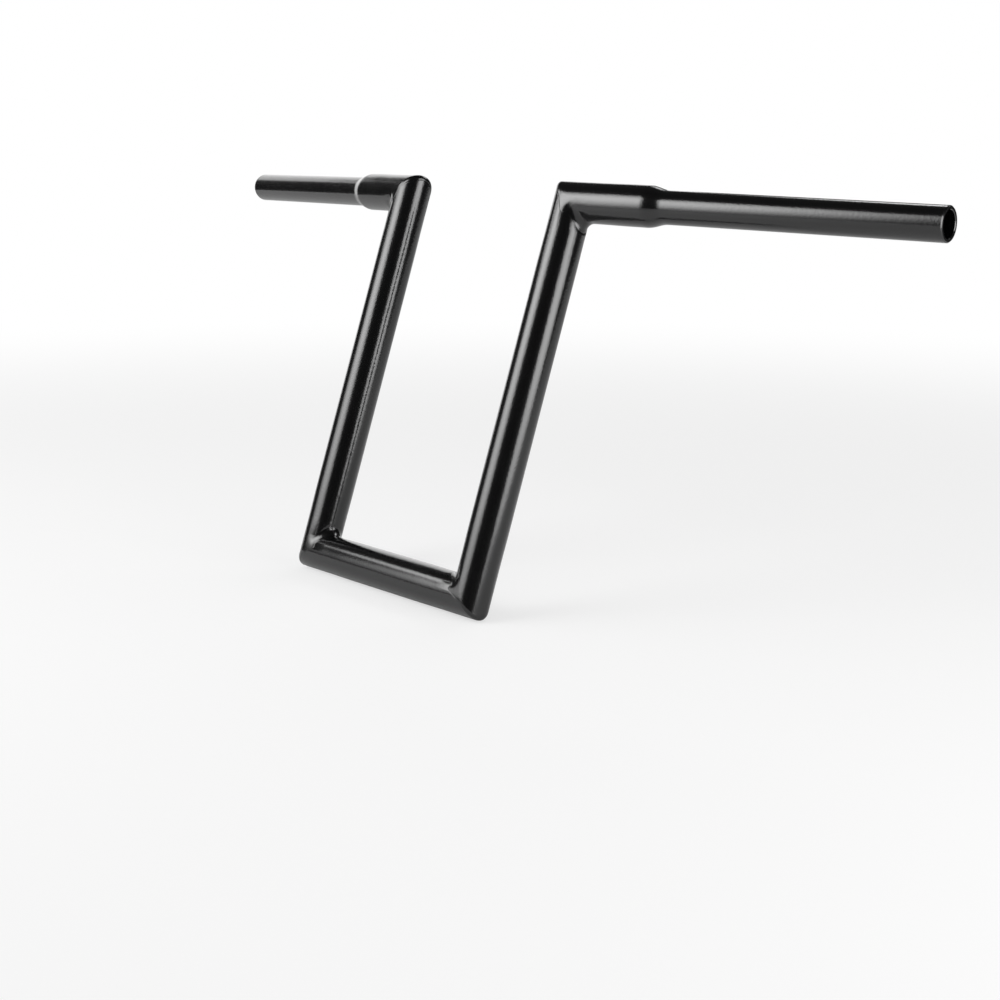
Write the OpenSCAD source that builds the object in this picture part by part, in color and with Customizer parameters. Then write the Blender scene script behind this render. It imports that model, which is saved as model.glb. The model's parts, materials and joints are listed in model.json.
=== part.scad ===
// Ape hanger handlebar: a bar of thick round tube, mitre cut and welded at four crisp corners.
// The centre tube lies level across the foot of the bar, two uprights lean back from its ends,
// and two top tubes run outward and sweep back to the control ends.
// +X is the left side when facing forward, +Y points back, +Z is up.
// The origin is the middle of the centre tube, on its centre line.

/* [Main tube] */
// Outside diameter of the main tube
tube_d = 31.75; // [30:0.05:38.1]
// Wall thickness of the main tube
tube_wall = 3; // [2.4:0.1:4]

/* [Shape of the bar] */
// Distance between the two lower corners, between centre lines
base_w = 200; // [140:1:320]
// Length of each upright from corner to corner, along its centre line
upright_len = 316; // [150:1:500]
// Angle by which the uprights lean back from vertical
lean = 19.5; // [0:0.5:35]
// Length of each top tube, from its corner to its open end
top_len = 310; // [300:1:400]
// Angle by which the top tubes sweep back
pullback = 10.5; // [0:0.5:25]
// Angle by which the top tubes fall toward their open ends
drop = 1; // [-5:0.5:10]

/* [Control ends] */
// Outside diameter of the control ends
control_d = 25.4; // [22.2:0.1:25.4]
// Wall thickness of the control ends
control_wall = 3; // [2:0.1:4]
// Length of each control end, at its even diameter
control_len = 222; // [190:1:230]
// Length over which the tube is swaged down to the control end
swage_len = 18; // [10:1:25]
// Chamfer round the outside of each open end
end_chamfer = 0.8; // [0.2:0.1:1.5]
// Chamfer round the bore of each open end
bore_chamfer = 0.5; // [0.2:0.1:0.8]

/* [Welded corners] */
// Radius of the ground fillet in the crook of each corner
fillet_r = 6.5; // [4:0.5:12]
// Radius of the ground edge round the outside of each corner
edge_r = 3; // [1:0.25:5]
// Width of weld beyond the fillet or edge, ground flush with the tube
weld_land = 1.5; // [1:0.25:3]
// Thickness of wall left unbevelled at each mitre, where the two tubes butt together
root_face = 0.8; // [0.5:0.1:1.5]
// Depth by which the tubes are ground down beside each weld
dress_depth = 0.2; // [0.2:0.05:0.4]
// Length of tube ground evenly beyond each weld
dress_land = 1; // [0.5:0.5:3]
// Length over which the ground part runs out to the full size of the tube
dress_run = 10; // [6:1:20]

/* [Hidden] */
$fn = 96;

gloss_black = [0.06, 0.06, 0.065];

tube_r = tube_d / 2;
bore_r = tube_r - tube_wall;
// Radius of the tubes at the corners, once they are ground
corner_r = tube_r - dress_depth;
control_r = control_d / 2;
control_bore_r = control_r - control_wall;

// How far each tube runs past its corner before it is mitred
overrun = tube_d;
// Side of the block that takes off what lies beyond a mitre
block = 4 * tube_d;

// Depth of the welding bevel, from the ground outside of the tube
bevel_depth = tube_wall - dress_depth - root_face;
// How far the bevelling tool reaches past the tube's surface and past the mitre
tool_clear = 2;
// Where the tool's edge runs to outside the tube and past the mitre, as shares of the bevel's width
tool_out = 1.4;
tool_past = 0.4;
// Largest share of the metal over the weld root that the outer edge may take
edge_share = 0.7;

// Stations round a corner and steps across its weld
weld_stations = 60;
weld_steps = 10;
// Steps along the curve of the swage
swage_steps = 10;

// Centre lines of the left side
upright_dir = [0, sin(lean), cos(lean)];
top_dir = [cos(drop) * cos(pullback), cos(drop) * sin(pullback), -sin(drop)];
lower_point = [base_w / 2, 0, 0];
upper_point = lower_point + upright_len * upright_dir;

// A corner is its point and the directions in which its two tubes leave it
lower_corner = [lower_point, [-1, 0, 0], upright_dir];
upper_corner = [upper_point, -upright_dir, top_dir];
// The lower corner of the other side
far_corner = [-lower_point, [1, 0, 0], upright_dir];
FIRST = 1;
SECOND = -1;

// Where the swage of a top tube starts and ends, from the corner
swage_start = top_len - control_len - swage_len;
swage_end = top_len - control_len;

function unit(v) = v / norm(v);

// A corner's own axes: into its crook, square to both tubes, and through the mitre to the first tube
function crook(c) = unit(c[1] + c[2]);
function square(c) = unit(cross(c[1], c[2]));
function through(c) = unit(c[1] - c[2]);
function half_angle(c) = acos(c[1] * crook(c));
function in_corner(c, p) = c[0] + p[0] * crook(c) + p[1] * square(c) + p[2] * through(c);

// Angle round the tube of a station, counted from the crook
function station_angle(i) = 360 * (i + 0.5) / weld_stations;

// Inside the crook the weld is a fillet, outside it is a rounded edge
function is_inside(a) = cos(a) > 0;
function edge_limit(h) = edge_share * bevel_depth / (1 - sin(h));
function blend_r(a, h) = is_inside(a) ? fillet_r : min(edge_r, edge_limit(h));

// How far the blend and the whole weld reach along the tube from the mitre, at angle a
function blend_reach(a, h) = blend_r(a, h) * abs(cos(a)) / tan(h);
function weld_reach(a, h) = blend_reach(a, h) + weld_land;

// Point of the mitre plane at radius r, and point of the tube at distance t from the mitre
function on_mitre(r, a, h) = [r * cos(a) / sin(h), r * sin(a), 0];
function on_tube(t, a, h) = on_mitre(corner_r, a, h) + [abs(t) * cos(h), 0, t * sin(h)];

// Point of the blend, an arc that leaves both tubes smoothly; s runs from -1 to 1 across it
function on_blend(s, a, h) =
    let (
        side = is_inside(a) ? 1 : -1,
        r = blend_r(a, h),
        turn = asin(abs(cos(a)) * cos(h)),
        middle = unit([cos(a) * sin(h), sin(a), 0])
    )
    on_mitre(corner_r + side * r, a, h) - side * r * cos(s * turn) * middle + [0, 0, r * sin(s * turn)];

// Ground surface of the weld at angle a; u runs from 1 to -1 across it
function weld_surface(u, a, h) =
    let (t = u * weld_reach(a, h), reach = blend_reach(a, h))
    abs(t) < reach ? on_blend(t / reach, a, h) : on_tube(t, a, h);

// How far from a corner its tubes are ground down to corner_r, along their centre lines
function ground_len(c) =
    let (h = half_angle(c))
    corner_r / tan(h) + weld_reach(0, h) + dress_land;

function weld_root(a, h) = on_mitre(corner_r - bevel_depth, a, h);

// Section of the weld at angle a, from its root round its ground surface
function weld_section(c, a) =
    let (h = half_angle(c))
    [
        in_corner(c, weld_root(a, h)),
        for (k = [0:weld_steps]) in_corner(c, weld_surface(1 - 2 * k / weld_steps, a, h))
    ];

// Section of the bevelling tool at angle a, which takes one tube's side of the groove
function bevel_section(c, which, a) =
    let (
        h = half_angle(c),
        root = weld_root(a, h),
        bevel = on_tube(which * weld_reach(a, h), a, h) - root,
        inner = in_corner(c, root - tool_past * bevel),
        outer = in_corner(c, root + tool_out * bevel),
        past = in_corner(c, on_mitre(corner_r + tool_clear, a, h) - [0, 0, which * tool_clear])
    )
    which == FIRST ? [inner, outer, past] : [inner, past, outer];

// Closed ring through a list of sections with the same number of points
module ring(sections) {
    n = len(sections);
    k = len(sections[0]);
    polyhedron(
        points = [for (section = sections) each section],
        faces = [
            for (i = [0:n - 1], j = [0:k - 1])
                let (this = i * k, next = (i + 1) % n * k, after = (j + 1) % k)
                each [
                    [this + j, next + j, next + after],
                    [this + j, next + after, this + after]
                ]
        ]
    );
}

// Turns +Z to the direction v
module point_along(v) {
    rotate([0, acos(v[2] / norm(v)), atan2(v[1], v[0])]) children();
}

// Takes the end of a tube off at the mitre and bevels it for welding
module corner_cut(c, which) {
    translate(c[0])
        point_along(-which * through(c))
            translate([-block / 2, -block / 2, 0])
                cube(block);
    ring([for (i = [0:weld_stations - 1]) bevel_section(c, which, station_angle(i))]);
}

// Plain tube from corner c to corner d, with its overrun at both ends, ground down beside both
module plain_tube(c, d) {
    length = norm(d[0] - c[0]);
    translate(c[0])
        point_along(d[0] - c[0])
            rotate_extrude()
                polygon([
                    [bore_r, -overrun],
                    [corner_r, -overrun],
                    [corner_r, ground_len(c)],
                    [tube_r, ground_len(c) + dress_run],
                    [tube_r, length - ground_len(d) - dress_run],
                    [corner_r, length - ground_len(d)],
                    [corner_r, length + overrun],
                    [bore_r, length + overrun]
                ]);
}

module weld(c) {
    color(gloss_black)
        ring([for (i = [0:weld_stations - 1]) weld_section(c, station_angle(i))]);
}

module centre_tube() {
    color(gloss_black)
        difference() {
            plain_tube(far_corner, lower_corner);
            corner_cut(lower_corner, FIRST);
            mirror([1, 0, 0]) corner_cut(lower_corner, FIRST);
        }
}

module upright() {
    color(gloss_black)
        difference() {
            plain_tube(lower_corner, upper_corner);
            corner_cut(lower_corner, SECOND);
            corner_cut(upper_corner, FIRST);
        }
}

// Radius along the swage, from the main tube's to the control end's; s runs from 0 to 1
function swage_radius(from, to, s) = from + (to - from) * (1 - cos(180 * s)) / 2;
function swage_point(from, to, s) = [swage_radius(from, to, s), swage_start + s * swage_len];

// Half section of a top tube's wall, with its length along Y
module top_tube_section() {
    polygon([
        [corner_r, -overrun],
        [corner_r, ground_len(upper_corner)],
        [tube_r, ground_len(upper_corner) + dress_run],
        for (k = [0:swage_steps]) swage_point(tube_r, control_r, k / swage_steps),
        [control_r, top_len - end_chamfer],
        [control_r - end_chamfer, top_len],
        [control_bore_r + bore_chamfer, top_len],
        [control_bore_r, top_len - bore_chamfer],
        for (k = [0:swage_steps]) swage_point(bore_r, control_bore_r, 1 - k / swage_steps),
        [bore_r, -overrun]
    ]);
}

module top_tube() {
    color(gloss_black)
        difference() {
            translate(upper_point)
                point_along(top_dir)
                    rotate_extrude()
                        top_tube_section();
            corner_cut(upper_corner, SECOND);
        }
}

module left_upright() {
    upright();
}

module right_upright() {
    mirror([1, 0, 0]) upright();
}

module left_top_tube() {
    top_tube();
}

module right_top_tube() {
    mirror([1, 0, 0]) top_tube();
}

module lower_left_weld() {
    weld(lower_corner);
}

module lower_right_weld() {
    mirror([1, 0, 0]) weld(lower_corner);
}

module upper_left_weld() {
    weld(upper_corner);
}

module upper_right_weld() {
    mirror([1, 0, 0]) weld(upper_corner);
}

centre_tube();
left_upright();
right_upright();
left_top_tube();
right_top_tube();
lower_left_weld();
lower_right_weld();
upper_left_weld();
upper_right_weld();
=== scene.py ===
# %% [markdown]
# # A gloss black ape hanger handlebar
# The bar is one welded piece: a centre tube below, two uprights that lean back and two top tubes
# that run out to the control ends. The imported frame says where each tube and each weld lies.
# Its meshes are cut in flat facets, and a gloss coat shows every facet, so this script models
# the same walls and welds again with a fine, even mesh and gives them their finish.

import json
import math

import bpy
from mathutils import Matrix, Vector


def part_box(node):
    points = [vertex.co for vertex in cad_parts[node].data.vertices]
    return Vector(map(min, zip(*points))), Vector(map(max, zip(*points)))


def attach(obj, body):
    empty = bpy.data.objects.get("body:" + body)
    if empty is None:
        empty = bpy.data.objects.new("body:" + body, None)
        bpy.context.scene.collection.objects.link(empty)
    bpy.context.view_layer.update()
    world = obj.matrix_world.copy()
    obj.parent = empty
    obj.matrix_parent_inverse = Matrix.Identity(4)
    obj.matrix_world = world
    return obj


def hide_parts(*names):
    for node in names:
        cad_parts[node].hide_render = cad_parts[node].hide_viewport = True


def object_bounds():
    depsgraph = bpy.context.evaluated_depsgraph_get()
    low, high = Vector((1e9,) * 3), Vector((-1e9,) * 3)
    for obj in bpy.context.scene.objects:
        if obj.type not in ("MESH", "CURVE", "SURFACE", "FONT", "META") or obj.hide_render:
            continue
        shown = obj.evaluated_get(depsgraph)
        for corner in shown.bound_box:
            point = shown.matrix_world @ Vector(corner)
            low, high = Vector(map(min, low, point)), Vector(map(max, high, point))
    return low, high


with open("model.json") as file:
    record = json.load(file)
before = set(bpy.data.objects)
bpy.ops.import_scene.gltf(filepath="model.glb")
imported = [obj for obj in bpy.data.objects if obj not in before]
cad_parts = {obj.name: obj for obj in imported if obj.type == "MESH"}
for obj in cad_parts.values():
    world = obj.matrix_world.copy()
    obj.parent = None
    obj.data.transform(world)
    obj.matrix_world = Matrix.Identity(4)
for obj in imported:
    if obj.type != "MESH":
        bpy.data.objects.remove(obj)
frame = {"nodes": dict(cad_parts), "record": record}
cad_low, cad_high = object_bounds()
print("frame nodes:", sorted(frame["nodes"]))
print("frame box:", [round(v, 4) for v in cad_low], [round(v, 4) for v in cad_high])

# %% [markdown]
# ## Sizes
# A designer reads sizes off the part and doesn't retype them. The mounts in the record give the
# radius of each tube and the line of the control ends, and the middle of an upright's box gives
# the width between the lower corners. Where that line crosses the upright's plane is the corner.

# %% Read the tubes from the record
MM = 0.001
mounts = {mount["name"]: mount for mount in frame["record"]["mounts"]}


def mount_radius(name):
    return mounts[name]["dims"]["r_mm"] * MM


TUBE_R = mount_radius("clamp_zone")
CONTROL_R = mount_radius("left_control_end")
CONTROL_BORE_R = mount_radius("left_bar_end_bore")
WALL = CONTROL_R - CONTROL_BORE_R
BORE_R = TUBE_R - WALL

upright_low, upright_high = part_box("left_upright")
lower_point = Vector(((upright_low.x + upright_high.x) / 2, 0, 0))
control_line = Vector(mounts["left_control_end"]["axis"]).normalized()
on_control_line = Vector(mounts["left_control_end"]["pos_m"])
upper_point = on_control_line - control_line * (on_control_line.x - lower_point.x) / control_line.x
upright_line = (upper_point - lower_point).normalized()
UPRIGHT_LEN = (upper_point - lower_point).length
TOP_LEN = max((v.co - upper_point).dot(control_line) for v in frame["nodes"]["left_top_tube"].data.vertices)
CONTROL_LEN = mounts["left_bar_end_bore"]["dims"]["length_mm"] * MM

print(f"tube {TUBE_R * 2 / MM:.2f} mm, control ends {CONTROL_R * 2 / MM:.2f} mm, wall {WALL / MM:.2f} mm")
print(f"upright {UPRIGHT_LEN / MM:.1f} mm, top tube {TOP_LEN / MM:.1f} mm")

# %% [markdown]
# ## The shape of a welded corner
# Each tube is cut on the plane that halves the corner, and bevelled. The weld fills the groove
# and is then ground: round the seam its surface is an arc that leaves both tubes smoothly. The
# grinder takes most in the crook and on the flanks, where a flat swell runs down both tubes,
# and leaves the rest and the outside edge crisp. At its toe the weld keeps a hair-thin hollow,
# which shows as a dark line. A bevel on the corner's edge would be the same width all round, so
# a small function gives the arc's points instead: the ellipse of the mitre carries it round.

# %% Values of the welds
BLEND_CROOK = 7.5 * MM
BLEND_EDGE = 3.2 * MM
BLEND_FLANK = 2.4 * MM
BLEND_SWELL = 6.0 * MM
SWELL_AT = 84.0
SWELL_WIDTH = 13.0
CROOK_POWER = 5
EDGE_POWER = 2
WELD_LAND = 1.5 * MM
TOE_DEPTHS = (0.10 * MM, 0.02 * MM)
DRESS_DEPTH = 0.2 * MM
DRESS_LAND = 1.0 * MM
DRESS_RUN = 30.0 * MM
ROOT_FACE = 0.8 * MM
CORNER_R = TUBE_R - DRESS_DEPTH
ROOT_R = BORE_R + ROOT_FACE
STATIONS = 180
print(f"weld root at radius {ROOT_R / MM:.2f} mm, ground tube at radius {CORNER_R / MM:.2f} mm")


# %% A corner with its own axes
class Corner:
    """A corner's point, its own axes and the half of the angle between its two tubes."""

    def __init__(self, point, first, second):
        self.point = point
        self.tubes = (first, second)
        self.crook = (first + second).normalized()
        self.square = first.cross(second).normalized()
        self.through = (first - second).normalized()
        self.half = first.angle(self.crook)

    def side(self, tube):
        """The direction square to a tube that points into the crook."""
        return (self.crook - tube * math.cos(self.half)).normalized()

    def mitre(self, radius, angle):
        """The point of the mitre plane that lies on the tubes' surface of that radius."""
        out = self.crook * (math.cos(angle) / math.sin(self.half)) + self.square * math.sin(angle)
        return self.point + out * radius

    def mitre_dist(self, radius, angle):
        """How far along a tube from the corner the mitre cuts its surface of that radius."""
        return radius * math.cos(angle) / math.tan(self.half)


lower = Corner(lower_point, Vector((-1, 0, 0)), upright_line)
upper = Corner(upper_point, -upright_line, control_line)
print("half angles:", [round(math.degrees(corner.half), 2) for corner in (lower, upper)])


# %% How far a weld reaches
def blend_reach(angle):
    """How far from the mitre the ground arc leaves the tube."""
    crook_share = (1 + math.cos(angle)) / 2
    in_crook = (BLEND_CROOK - BLEND_FLANK) * crook_share ** CROOK_POWER
    on_edge = (BLEND_EDGE - BLEND_FLANK) * (1 - crook_share) ** EDGE_POWER
    turn = abs(math.remainder(math.degrees(angle), 360))
    swell = BLEND_SWELL * math.exp(-(((turn - SWELL_AT) / SWELL_WIDTH) ** 2))
    return BLEND_FLANK + in_crook + on_edge + swell


def weld_reach(angle):
    """How far from the mitre the weld's toe lies."""
    return blend_reach(angle) + WELD_LAND


def ground_len(corner):
    """How far from the corner its tubes stay ground down beside the weld."""
    return corner.mitre_dist(CORNER_R, 0) + weld_reach(0) + DRESS_LAND


for place, angle in (("crook", 0), ("flank", math.pi / 2), ("outside edge", math.pi)):
    print(f"weld reaches {weld_reach(angle) / MM:.2f} mm from the mitre in the {place}")

# %% [markdown]
# ## Rolling a sheet into a closed wall
# Every piece of the bar is a ring: a wall section carried once round a tube. The piece starts as
# a flat grid with one row for each station round the tube and one column for each point of the
# section. The grid is rolled up into place, its two pairs of edges are merged, and its
# normals are turned outwards. One way serves tubes and welds, and the seam between
# a tube and its weld has the same points on both sides, so no line shows through the coat.

# %% A helper that rolls the wall
SEAM = 1e-6
CREASE = math.radians(20)


def only(piece):
    """Leave just this piece selected and active."""
    bpy.ops.object.select_all(action="DESELECT")
    piece.select_set(True)
    bpy.context.view_layer.objects.active = piece


def close_up(piece):
    """Merge the doubled seams and turn all faces outwards."""
    only(piece)
    bpy.ops.object.mode_set(mode="EDIT")
    bpy.ops.mesh.select_all(action="SELECT")
    bpy.ops.mesh.remove_doubles(threshold=SEAM)
    bpy.ops.mesh.normals_make_consistent(inside=False)
    bpy.ops.object.mode_set(mode="OBJECT")
    bpy.ops.object.shade_smooth_by_angle(angle=CREASE)


def rolled(name, sections):
    """A closed ring through sections, a list with one list of points for each station."""
    rows, columns = len(sections), len(sections[0])
    bpy.ops.object.select_all(action="DESELECT")
    bpy.ops.mesh.primitive_grid_add(x_subdivisions=columns, y_subdivisions=rows, size=1)
    piece = bpy.context.active_object
    piece.name = piece.data.name = name
    for vertex in piece.data.vertices:
        column = round((vertex.co.x + 0.5) * columns) % columns
        row = round((vertex.co.y + 0.5) * rows) % rows
        vertex.co = sections[row][column]
    close_up(piece)
    print(f"{name}: {len(piece.data.vertices)} points, {len(piece.data.polygons)} faces")
    return piece


def station_angle(index):
    """The angle round a tube of a station, counted from the corner's crook."""
    return 2 * math.pi * (index + 0.5) / STATIONS


# %% [markdown]
# ## The weld rings
# A weld's section has its root at the foot of the groove, then a narrow land flush with the
# first tube, the ground arc, and a land flush with the second tube. The arc lies in the plane of
# the two lines that it joins, so its radius follows from its reach and the corner's angle.

# %% The section of a weld
ARC_STEPS = 24
LAND_STEPS = 6


def arc_point(corner, reach, turn):
    """Offset from the mitre to the arc; turn runs from 1 at the first tube to -1 at the second."""
    radius = reach * math.tan(corner.half)
    swing = turn * (math.pi / 2 - corner.half)
    centre = corner.crook * (reach / math.cos(corner.half))
    return centre - corner.crook * (radius * math.cos(swing)) + corner.through * (radius * math.sin(swing))


def land_point(corner, which, angle, share):
    """Offset from the mitre to the land; share runs from 0 at the arc to 1 at the weld's toe."""
    tube = corner.tubes[which]
    outward = corner.side(tube) * math.cos(angle) + corner.square * math.sin(angle)
    hollow = TOE_DEPTHS[which] * math.sin(math.pi * share) ** 2
    return tube * (blend_reach(angle) + WELD_LAND * share) - outward * hollow


def weld_section(corner, angle):
    """The weld's outline at one angle: its root, a land, the ground arc and the other land."""
    reach = blend_reach(angle)
    mitre = corner.mitre(CORNER_R, angle)
    points = [corner.mitre(ROOT_R, angle)]
    for step in range(LAND_STEPS):
        points.append(mitre + land_point(corner, 0, angle, 1 - step / LAND_STEPS))
    for step in range(ARC_STEPS + 1):
        points.append(mitre + arc_point(corner, reach, 1 - 2 * step / ARC_STEPS))
    for step in range(LAND_STEPS):
        points.append(mitre + land_point(corner, 1, angle, (step + 1) / LAND_STEPS))
    return points


print("points in a weld's section:", len(weld_section(lower, 0)))


# %% Model the welds of the left side
def weld_ring(name, corner):
    """The weld of a corner as a closed ring."""
    return rolled(name, [weld_section(corner, station_angle(i)) for i in range(STATIONS)])


welds = {
    "lower_left_weld": weld_ring("lower_left_weld_ring", lower),
    "upper_left_weld": weld_ring("upper_left_weld_ring", upper),
}

# %% [markdown]
# ## The tubes
# On the real bar a tube is sawn at the mitre, bevelled for the weld and later ground flush with
# it. A cylinder could be cut with bisect and bevelled, but its cut edge would have
# other points than the weld's edge, and a line would show in the gloss. So a tube is rolled up
# as the welds are. Its section is the outline of its wall seen along one line of the tube: the
# outside from weld to weld, the bevel and the butted face of each mitre, and the bore. Beside a
# weld the outside is ground down by a hair and runs out in a gentle wave.
# The two mitres of an upright are turned a few degrees against each other, so each line of the
# tube is matched to the nearest station at its far end.

# %% Outlines along a tube
RUN_STEPS = 10
STRAIGHT_STEPS = 8


def wave(share):
    """A smooth rise from 0 to 1."""
    return (1 - math.cos(math.pi * share)) / 2


def run_out(corner, length, at_start):
    """The outside beside a weld as (distance, radius) pairs, from the ground part to the full size."""
    begin = ground_len(corner)
    pairs = []
    for step in range(RUN_STEPS + 1):
        share = step / RUN_STEPS
        pairs.append((begin + DRESS_RUN * share, CORNER_R + DRESS_DEPTH * wave(share)))
    if at_start:
        return pairs
    return [(length - dist, radius) for dist, radius in reversed(pairs)]


def straight(start, end):
    """Points between two (distance, radius) pairs, without the two themselves."""
    found = []
    for step in range(1, STRAIGHT_STEPS):
        share = step / STRAIGHT_STEPS
        found.append((start[0] + (end[0] - start[0]) * share, start[1] + (end[1] - start[1]) * share))
    return found


def end_outline(corner, angle):
    """The outline of a mitred end: weld edge, bevel root and edge of the bore, from the corner."""
    return [
        (corner.mitre_dist(CORNER_R, angle) + weld_reach(angle), CORNER_R),
        (corner.mitre_dist(ROOT_R, angle), ROOT_R),
        (corner.mitre_dist(BORE_R, angle), BORE_R),
    ]


print(f"ground part at the upper corner: {ground_len(upper) / MM:.1f} mm, then a run-out")


# %% Lay an outline along a tube
def spoke(corner, tube, angle):
    """Direction square to the tube at a station angle of one of its corners."""
    return corner.side(tube) * math.cos(angle) + corner.square * math.sin(angle)


def laid(start, along, length, first_spoke, last_spoke, pairs):
    """Points of (distance, radius) pairs on a tube, whose line turns from one spoke to the other."""
    points = []
    for dist, radius in pairs:
        share = min(max(dist / length, 0), 1)
        direction = first_spoke.lerp(last_spoke, share).normalized()
        points.append(start + along * dist + direction * radius)
    return points


# %% A tube with a mitre at both ends
def tube_between(name, first, first_tube, last, last_tube, shift):
    """A tube with a mitre at both ends. Station i at the first end meets station i + shift at the last."""
    start = first.point
    length = (last.point - first.point).length
    sections = []
    for i in range(STATIONS):
        angle = station_angle(i)
        far_angle = station_angle(i + shift)
        near_end = end_outline(first, angle)
        far_end = [(length - dist, radius) for dist, radius in end_outline(last, far_angle)]
        rise = run_out(first, length, True)
        fall = run_out(last, length, False)
        pairs = [near_end[0]] + rise + straight(rise[-1], fall[0]) + fall + far_end + near_end[:0:-1]
        spokes = (spoke(first, first_tube, angle), spoke(last, last_tube, far_angle))
        sections.append(laid(start, first_tube, length, *spokes, pairs))
    return rolled(name, sections)


def nearest_shift(first, first_tube, last, last_tube):
    """How many stations the last corner is turned against the first, to the nearest one."""
    spokes = [spoke(last, last_tube, station_angle(k)) for k in range(STATIONS)]
    wanted = spoke(first, first_tube, station_angle(0))
    return max(range(STATIONS), key=lambda k: spokes[k].dot(wanted))


def mirrored(corner):
    """The same corner on the right side. Its axes are mirrored too, so angles count the other way."""
    flip = Vector((-1, 1, 1))
    twin = Corner(corner.point * flip, corner.tubes[0] * flip, corner.tubes[1] * flip)
    twin.square = corner.square * flip
    return twin


# %% Model the centre tube and an upright
tubes = {
    "centre_tube": tube_between(
        "centre_tube_wall", lower, lower.tubes[0], mirrored(lower), -lower.tubes[0], 0
    ),
    "left_upright": tube_between(
        "left_upright_wall", lower, upright_line, upper, -upright_line,
        nearest_shift(lower, upright_line, upper, -upright_line),
    ),
}

# %% [markdown]
# ## The top tube and its control end
# The top tube keeps its full size past the corner and is then swaged down to the control end.
# The swage is an S curve on the outside and in the bore. The open end is chamfered, so that it
# has no sharp edge and other pieces slide on. A cone primitive between two cylinders would do,
# but its hard edges would break the light strips, so the outline takes the curve itself.

# %% The swage
SWAGE_LEN = 18.0 * MM
SWAGE_STEPS = 20
END_CHAMFER = 0.8 * MM
BORE_CHAMFER = 0.5 * MM
swage_end = TOP_LEN - CONTROL_LEN - BORE_CHAMFER
swage_start = swage_end - SWAGE_LEN


def swage(from_r, to_r):
    """The S curve from one radius to another as (distance, radius) pairs."""
    pairs = []
    for step in range(SWAGE_STEPS + 1):
        share = step / SWAGE_STEPS
        pairs.append((swage_start + SWAGE_LEN * share, from_r + (to_r - from_r) * wave(share)))
    return pairs


print(f"swage from {swage_start / MM:.1f} to {swage_end / MM:.1f} mm from the corner")


# %% Model a top tube
def top_tube(name):
    """A top tube: mitred at its corner, swaged down, and chamfered at its open end."""
    outside = swage(TUBE_R, CONTROL_R)
    rim = [
        (TOP_LEN - END_CHAMFER, CONTROL_R),
        (TOP_LEN, CONTROL_R - END_CHAMFER),
        (TOP_LEN, CONTROL_BORE_R + BORE_CHAMFER),
        (TOP_LEN - BORE_CHAMFER, CONTROL_BORE_R),
    ]
    inside = list(reversed(swage(BORE_R, CONTROL_BORE_R)))
    sections = []
    for i in range(STATIONS):
        angle = station_angle(i)
        near_end = end_outline(upper, angle)
        rise = run_out(upper, TOP_LEN, True)
        pairs = [near_end[0]] + rise + straight(rise[-1], outside[0]) + outside
        pairs += straight(outside[-1], rim[0]) + rim + straight(rim[-1], inside[0]) + inside + near_end[:0:-1]
        line = spoke(upper, control_line, angle)
        sections.append(laid(upper.point, control_line, TOP_LEN, line, line, pairs))
    return rolled(name, sections)


tubes["left_top_tube"] = top_tube("left_top_tube_wall")

# %% [markdown]
# ## The right side
# The right half is the left one mirrored. A live Mirror modifier would keep both halves in one
# mesh, but each side is a piece of its own, so a copy is mirrored. A mirrored mesh is inside
# out, so its normals are turned outwards again.

# %% Mirror the left pieces
pieces = {**tubes, **welds}


def mirror_copy(piece, name):
    """The same piece on the right side, with a mesh of its own."""
    only(piece)
    bpy.ops.object.duplicate()
    twin = bpy.context.active_object
    twin.name = twin.data.name = name
    bpy.ops.transform.mirror(constraint_axis=(True, False, False), orient_type="GLOBAL")
    bpy.ops.object.transform_apply(location=True, rotation=True, scale=True)
    close_up(twin)
    return twin


for node in [name for name in pieces if "left" in name]:
    twin_node = node.replace("left", "right")
    pieces[twin_node] = mirror_copy(pieces[node], pieces[node].name.replace("left", "right"))
print("pieces:", sorted(pieces))

# %% [markdown]
# ## The finish
# The bar is coated gloss black over ground steel. A coat like this is three things: a black
# base, a clear gloss layer that mirrors the room, and a very fine unevenness, the orange peel of
# the sprayed coat over the grain of the ground tube, which breaks the edges of the reflections.
# The shader has a coat layer for the gloss. Noise on Object coordinates drives the bump
# and the base's roughness, so the pattern sits still on the metal.

# %% Helpers for the shader's nodes
def value_range(nodes, links, source, low, high):
    """Stretch a 0 to 1 value over a range."""
    node = nodes.new("ShaderNodeMapRange")
    node.inputs["To Min"].default_value = low
    node.inputs["To Max"].default_value = high
    links.new(source, node.inputs["Value"])
    return node.outputs["Result"]


def noise(nodes, links, place, scale, detail):
    """Random cloudiness, its scale in features to the metre."""
    node = nodes.new("ShaderNodeTexNoise")
    node.inputs["Scale"].default_value = scale
    node.inputs["Detail"].default_value = detail
    links.new(place, node.inputs["Vector"])
    return node.outputs["Fac"]


def bump(nodes, links, height, depth, below=None):
    """Bend the normal as if the surface rose and fell by a depth."""
    node = nodes.new("ShaderNodeBump")
    node.inputs["Distance"].default_value = depth
    links.new(height, node.inputs["Height"])
    if below is not None:
        links.new(below, node.inputs["Normal"])
    return node.outputs["Normal"]


# %% Make the coat
PEEL_SCALE = 420.0
PEEL_DEPTH = 0.05 * MM
GRAIN_SCALE = 850.0
GRAIN_DEPTH = 0.05 * MM
CLOUD_SCALE = 30.0
BASE_BLACK = (0.0025, 0.0025, 0.0027, 1)
BASE_ROUGHNESS = (0.16, 0.28)
BASE_IOR = 1.5
COAT_ROUGHNESS = 0.07
COAT_IOR = 1.55


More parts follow.
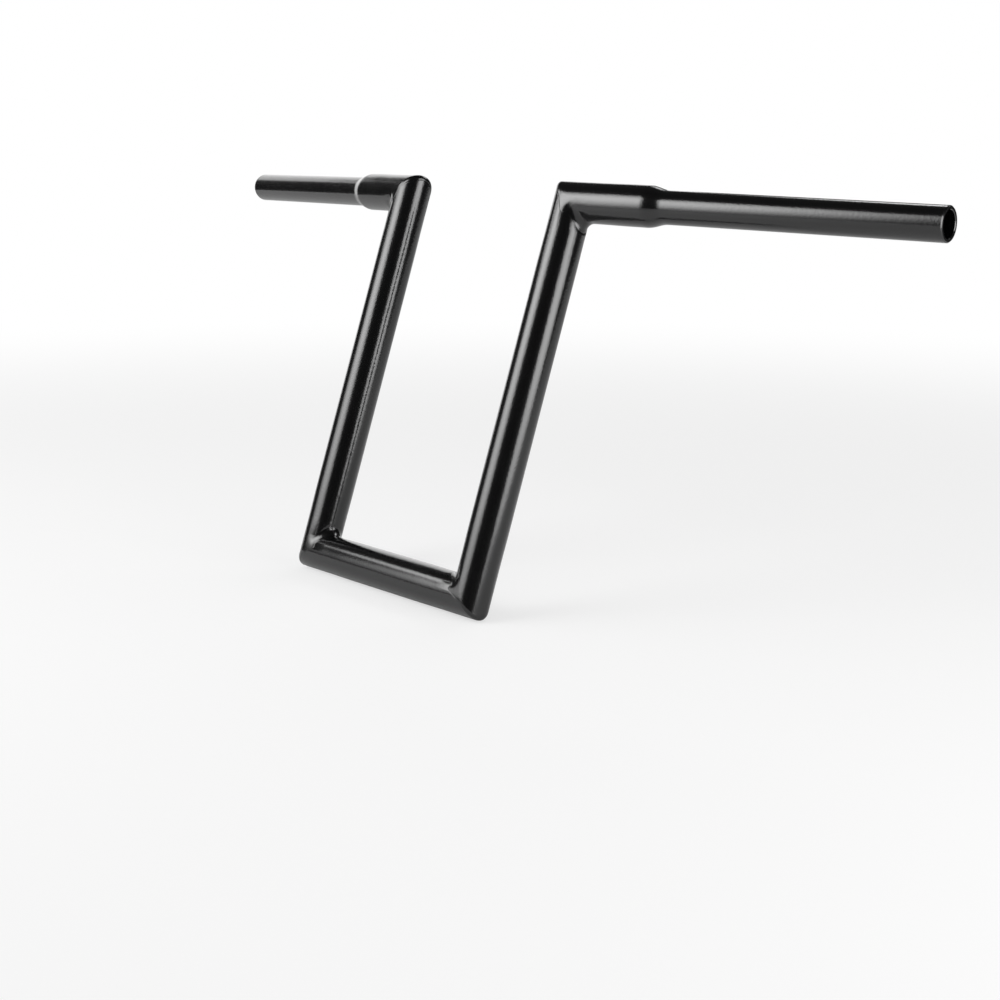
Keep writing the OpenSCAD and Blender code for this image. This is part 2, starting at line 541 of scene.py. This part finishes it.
def gloss_black_coat():
    """Black base under a clear gloss layer, both over the same fine unevenness."""
    material = bpy.data.materials.new("gloss_black_coat")
    material.use_nodes = True
    nodes, links = material.node_tree.nodes, material.node_tree.links
    shader = nodes["Principled BSDF"]
    place = nodes.new("ShaderNodeTexCoord").outputs["Object"]
    peel = noise(nodes, links, place, PEEL_SCALE, 2.0)
    grain = noise(nodes, links, place, GRAIN_SCALE, 1.0)
    cloud = noise(nodes, links, place, CLOUD_SCALE, 3.0)
    uneven = bump(nodes, links, grain, GRAIN_DEPTH, bump(nodes, links, peel, PEEL_DEPTH))
    links.new(uneven, shader.inputs["Normal"])
    links.new(uneven, shader.inputs["Coat Normal"])
    links.new(value_range(nodes, links, cloud, *BASE_ROUGHNESS), shader.inputs["Roughness"])
    shader.inputs["Base Color"].default_value = BASE_BLACK
    shader.inputs["IOR"].default_value = BASE_IOR
    shader.inputs["Coat Weight"].default_value = 1.0
    shader.inputs["Coat Roughness"].default_value = COAT_ROUGHNESS
    shader.inputs["Coat IOR"].default_value = COAT_IOR
    return material


coat = gloss_black_coat()
print("material:", coat.name)

# %% [markdown]
# ## Handing the pieces over
# Each piece stands for one node of the frame: it rides on that node's body and hides the node.

# %% Dress the frame
for node, piece in pieces.items():
    piece.data.materials.clear()
    piece.data.materials.append(coat)
    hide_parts(node)
    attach(piece, "root")
print("dressed nodes:", len(pieces))

# %% [markdown]
# ## The camera
# The camera stands at the photograph's angle, left and in front of the bar and a little above
# it. Its focal length is the one that draws the tubes on the same lines as the photograph does.

# %% Place the camera
FOCAL_PX = 1764.25
IMAGE_PX = 1000
SENSOR_MM = 36.0
CAMERA_AT = (1.09959, -0.85357, 0.36473)
CAMERA_DOWN = 12.35
CAMERA_TURN = 48.54
camera_data = bpy.data.cameras.new("camera")
camera_data.sensor_width = SENSOR_MM
camera_data.lens = FOCAL_PX / IMAGE_PX * SENSOR_MM
camera = bpy.data.objects.new("camera", camera_data)
bpy.context.collection.objects.link(camera)
camera.location = CAMERA_AT
camera.rotation_euler = (math.radians(90 - CAMERA_DOWN), 0, math.radians(CAMERA_TURN))
bpy.context.scene.camera = camera
print("lens:", round(camera_data.lens, 2), "mm")

# %% [markdown]
# ## The studio
# A gloss black thing is lit by what it mirrors. The front and the side box draw the two light
# strips down each tube. A small one high up makes the strip on the centre tube broader, and one
# behind lights the back. A bare area lamp is evenly bright and would draw strips with hard
# edges, so each lamp's own nodes dim it towards its rim, as the cloth of a soft box does.

# %% Helpers for the boxes' glow
TARGET = Vector((0.0, 0.06, 0.0))


def direction(azimuth):
    """A level direction from its angle round the vertical, counted from +X to +Y."""
    return Vector((math.cos(math.radians(azimuth)), math.sin(math.radians(azimuth)), 0))


def maths(nodes, links, kind, first, second=0.0):
    """One step of sums on values. An input is a number or another step's output."""
    node = nodes.new("ShaderNodeMath")
    node.operation = kind
    for socket, given in zip(node.inputs, (first, second)):
        if isinstance(given, float):
            socket.default_value = given
        else:
            links.new(given, socket)
    return node.outputs["Value"]


def dome(nodes, links, along, fullness):
    """0 at both ends of a 0 to 1 value and 1 in its middle. A power below 1 gives steeper edges."""
    arch = maths(nodes, links, "SINE", maths(nodes, links, "MULTIPLY", along, math.pi))
    return maths(nodes, links, "POWER", maths(nodes, links, "ABSOLUTE", arch), fullness)


# %% Stand the soft boxes
def soft_box(name, azimuth, height, dist, width, tall, radiance, fullness):
    """An area lamp that faces the bar, brightest in the middle as the cloth of a soft box is."""
    data = bpy.data.lights.new(name, "AREA")
    data.shape = "RECTANGLE"
    data.size = width
    data.size_y = tall
    data.energy = radiance * math.pi * width * tall
    data.use_nodes = True
    nodes, links = data.node_tree.nodes, data.node_tree.links
    spot = nodes.new("ShaderNodeSeparateXYZ")
    links.new(nodes.new("ShaderNodeNewGeometry").outputs["Parametric"], spot.inputs["Vector"])
    across = dome(nodes, links, spot.outputs["X"], fullness[0])
    upward = dome(nodes, links, spot.outputs["Y"], fullness[1])
    links.new(maths(nodes, links, "MULTIPLY", across, upward), nodes["Emission"].inputs["Strength"])
    lamp = bpy.data.objects.new(name, data)
    bpy.context.collection.objects.link(lamp)
    lamp.location = TARGET + direction(azimuth) * dist + Vector((0, 0, height))
    lamp.rotation_euler = direction(azimuth).to_track_quat("Z", "Y").to_euler()
    lamp.visible_camera = False
    print(f"{name}: {width:.2f} x {tall:.2f} m at {[round(v, 2) for v in lamp.location]}")
    return lamp


soft_box(
    "front_box", azimuth=-117, height=0.96, dist=1.25, width=1.44, tall=1.90,
    radiance=5.2, fullness=(1.0, 1.1),
)
soft_box(
    "fill_box", azimuth=-152, height=0.98, dist=1.25, width=0.50, tall=0.56,
    radiance=3.6, fullness=(0.8, 0.8),
)
soft_box(
    "side_box", azimuth=5, height=0.42, dist=1.25, width=0.95, tall=0.84,
    radiance=4.6, fullness=(0.5, 0.35),
)
soft_box(
    "rear_box", azimuth=95, height=1.25, dist=1.10, width=1.40, tall=0.80,
    radiance=3.5, fullness=(1.0, 1.0),
)

# %% [markdown]
# ## The painted dark reflection round the bar
# Between the boxes the room has to stay dark, or the black turns grey, so a tent of painted dark
# reflection stands round the bar, as a photographer puts dark cloths round a black bottle. It has a
# window towards the backdrop, which the edge of a tube mirrors where it grazes it, as in the
# photograph. Only reflections see the tent, so it takes no light from the bar: its faint glow is painted
# reflection.

# %% Hang the tent
TENT_R = 2.2
PAINTED_REFLECTION_GLOW = 0.03
WINDOW_AZIMUTHS = (128, 176)
WINDOW_TOP = 31
bpy.ops.object.select_all(action="DESELECT")
bpy.ops.mesh.primitive_uv_sphere_add(segments=90, ring_count=45, radius=TENT_R, location=(0, 0, 0))
tent = bpy.context.active_object
tent.name = "painted_reflection_tent"


def in_window(centre):
    """Whether a face of the tent lies in its window towards the backdrop."""
    azimuth = math.degrees(math.atan2(centre.y, centre.x))
    elevation = math.degrees(math.asin(centre.z / centre.length))
    return WINDOW_AZIMUTHS[0] < azimuth < WINDOW_AZIMUTHS[1] and elevation < WINDOW_TOP


bpy.ops.object.mode_set(mode="EDIT")
bpy.ops.mesh.select_all(action="DESELECT")
bpy.ops.object.mode_set(mode="OBJECT")
for face in tent.data.polygons:
    face.select = in_window(face.center)
bpy.ops.object.mode_set(mode="EDIT")
bpy.ops.mesh.select_mode(type="FACE")
bpy.ops.mesh.delete(type="FACE")
bpy.ops.object.mode_set(mode="OBJECT")
print("tent faces:", len(tent.data.polygons))

# %% Give the tent its painted dark reflection
tent.visible_camera = False
tent.visible_diffuse = False
tent.visible_shadow = False
tent.visible_transmission = False
tent_cloth = bpy.data.materials.new("tent_cloth")
tent_cloth.use_nodes = True
nodes, links = tent_cloth.node_tree.nodes, tent_cloth.node_tree.links
nodes.clear()
# The faint glow is painted reflection: it stands in for the dim room that the gloss mirrors between the
# boxes, and no lamp gives it.
glow = nodes.new("ShaderNodeEmission")
glow.inputs["Strength"].default_value = PAINTED_REFLECTION_GLOW
links.new(glow.outputs["Emission"], nodes.new("ShaderNodeOutputMaterial").inputs["Surface"])
tent.data.materials.append(tent_cloth)
print("painted dark reflection:", tent_cloth.name)

# %% [markdown]
# ## The floor and the white room
# The floor is pale and the room is white. The camera and the gloss see both at full white far
# away, so no horizon shows. Close to the bar the floor is paint that takes its shadow.

# %% Lay the floor
FLOOR_GAP = 0.0005
FLOOR_SIZE = 60.0
bpy.ops.object.select_all(action="DESELECT")
bpy.ops.mesh.primitive_plane_add(size=FLOOR_SIZE, location=(0, 0, cad_low[2] - FLOOR_GAP))
floor = bpy.context.active_object
floor.name = "floor"
print("floor at", round(floor.location.z / MM, 2), "mm")

# %% Paint the floor
FLOOR_NEAR, FLOOR_FAR = 0.4, 2.0
MIRRORED_FAR = 4.0
FLOOR_WHITE = 0.65
FLOOR_PAINT = 0.62
CAMERA_PAINT = 0.95
FLOOR_ROUGHNESS = 0.9
floor_paint = bpy.data.materials.new("pale_floor")
floor_paint.use_nodes = True
nodes, links = floor_paint.node_tree.nodes, floor_paint.node_tree.links
matt = nodes["Principled BSDF"]
matt.inputs["Roughness"].default_value = FLOOR_ROUGHNESS
matt.inputs["Specular IOR Level"].default_value = 0.0
rays = nodes.new("ShaderNodeLightPath")
seen = maths(nodes, links, "MAXIMUM", rays.outputs["Is Camera Ray"], rays.outputs["Is Transmission Ray"])
reach = nodes.new("ShaderNodeVectorMath")
reach.operation = "LENGTH"
links.new(nodes.new("ShaderNodeTexCoord").outputs["Object"], reach.inputs[0])
away = nodes.new("ShaderNodeMapRange")
away.interpolation_type = "SMOOTHSTEP"
away.inputs["From Min"].default_value = FLOOR_NEAR
away.inputs["To Max"].default_value = 1.0
links.new(reach.outputs["Value"], away.inputs["Value"])
links.new(value_range(nodes, links, seen, MIRRORED_FAR, FLOOR_FAR), away.inputs["From Max"])
links.new(value_range(nodes, links, seen, 0.0, FLOOR_WHITE), away.inputs["To Min"])
mirrored_too = maths(nodes, links, "MAXIMUM", seen, rays.outputs["Is Glossy Ray"])
glow = nodes.new("ShaderNodeEmission")
blend = nodes.new("ShaderNodeMixShader")
tone = nodes.new("ShaderNodeCombineColor")
pale = value_range(nodes, links, seen, FLOOR_PAINT, CAMERA_PAINT)
for channel in ("Red", "Green", "Blue"):
    links.new(pale, tone.inputs[channel])
links.new(tone.outputs["Color"], matt.inputs["Base Color"])
white_share = maths(nodes, links, "MULTIPLY", away.outputs["Result"], mirrored_too)
links.new(white_share, blend.inputs["Fac"])
links.new(matt.outputs["BSDF"], blend.inputs[1])
links.new(glow.outputs["Emission"], blend.inputs[2])
links.new(blend.outputs["Shader"], nodes["Material Output"].inputs["Surface"])
floor.data.materials.append(floor_paint)
print("floor paint:", floor_paint.name)

# %% Light the room
AMBIENT = 0.30
world = bpy.data.worlds.new("white_room")
bpy.context.scene.world = world
world.use_nodes = True
nodes, links = world.node_tree.nodes, world.node_tree.links
rays = nodes.new("ShaderNodeLightPath")
seen = maths(nodes, links, "MAXIMUM", rays.outputs["Is Camera Ray"], rays.outputs["Is Glossy Ray"])
seen = maths(nodes, links, "MAXIMUM", seen, rays.outputs["Is Transmission Ray"])
background = nodes["Background"]
background.inputs["Color"].default_value = (1, 1, 1, 1)
links.new(value_range(nodes, links, seen, AMBIENT, 1.0), background.inputs["Strength"])

bpy.context.scene.view_settings.view_transform = "Standard"
print("world:", world.name)
